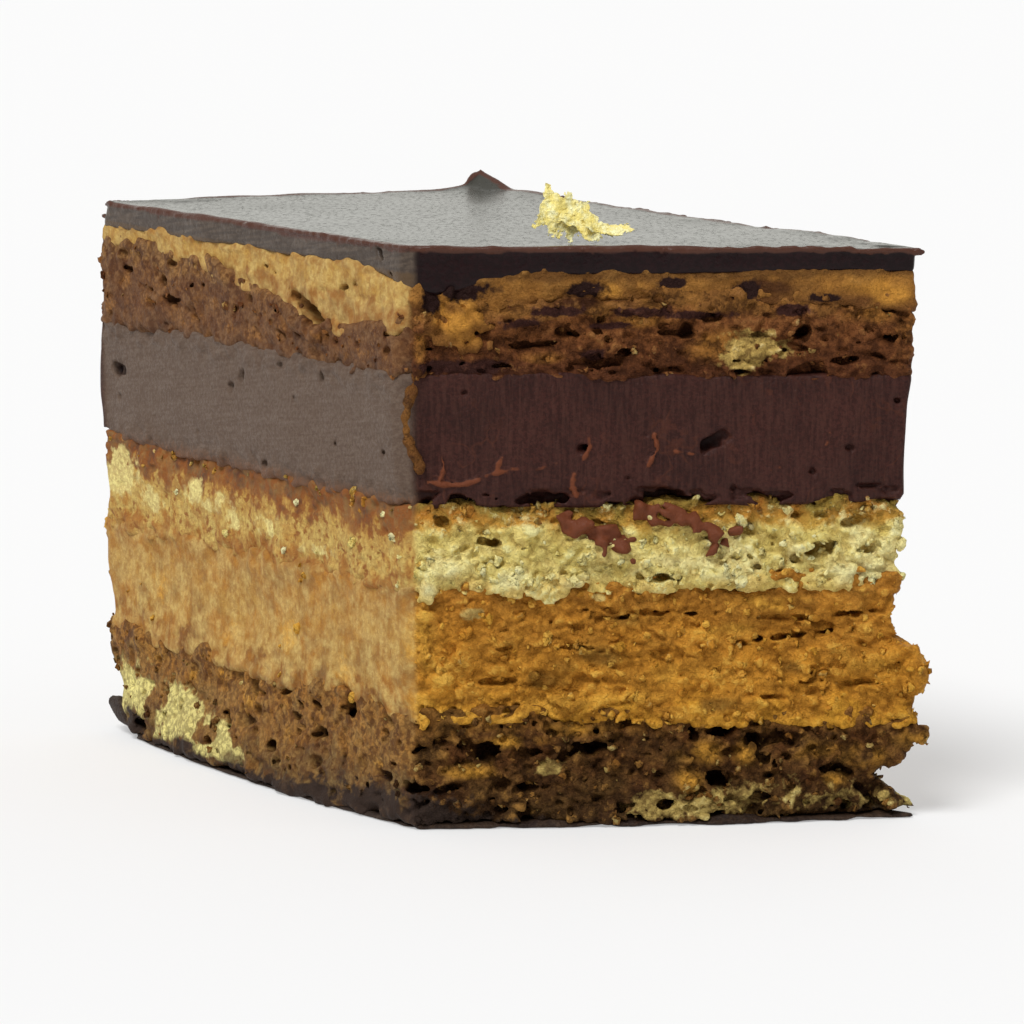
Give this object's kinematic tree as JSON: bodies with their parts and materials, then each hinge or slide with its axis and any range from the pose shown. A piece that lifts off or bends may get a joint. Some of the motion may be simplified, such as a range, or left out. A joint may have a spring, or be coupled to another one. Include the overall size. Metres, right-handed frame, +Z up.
{
  "type": "opera cake",
  "caption": "Small layered coffee and chocolate cake cut as a slanting block, with a glossy dark top, torn cut sides and a flake of gold leaf.",
  "frame": {"origin": "middle of the footprint's box, on the surface the portion stands on", "axes": "+X to the right along the portion's longest extent, +Y to the back, +Z up"},
  "size_m": [0.0653, 0.0494, 0.0475],
  "materials": {
    "chocolate_base": "satin set chocolate",
    "soaked_sponge": "open crumb soaked with coffee syrup",
    "coffee_cream": "satin butter cream, torn where it was cut",
    "pale_sponge": "open dry crumb",
    "ganache": "satin, smoothed by the knife",
    "chocolate_glaze": "satin gloss with fine pinholes",
    "gold_leaf": "bright crumpled leaf"
  },
  "bodies": {
    "root": {"base_coat": "chocolate_base", "lower_sponge": "soaked_sponge", "thick_cream": "coffee_cream", "middle_sponge": "pale_sponge", "ganache": "ganache", "upper_sponge": "soaked_sponge", "thin_cream": "coffee_cream", "glaze": "chocolate_glaze", "gold_leaf": "gold_leaf"}
  },
  "joints": []
}
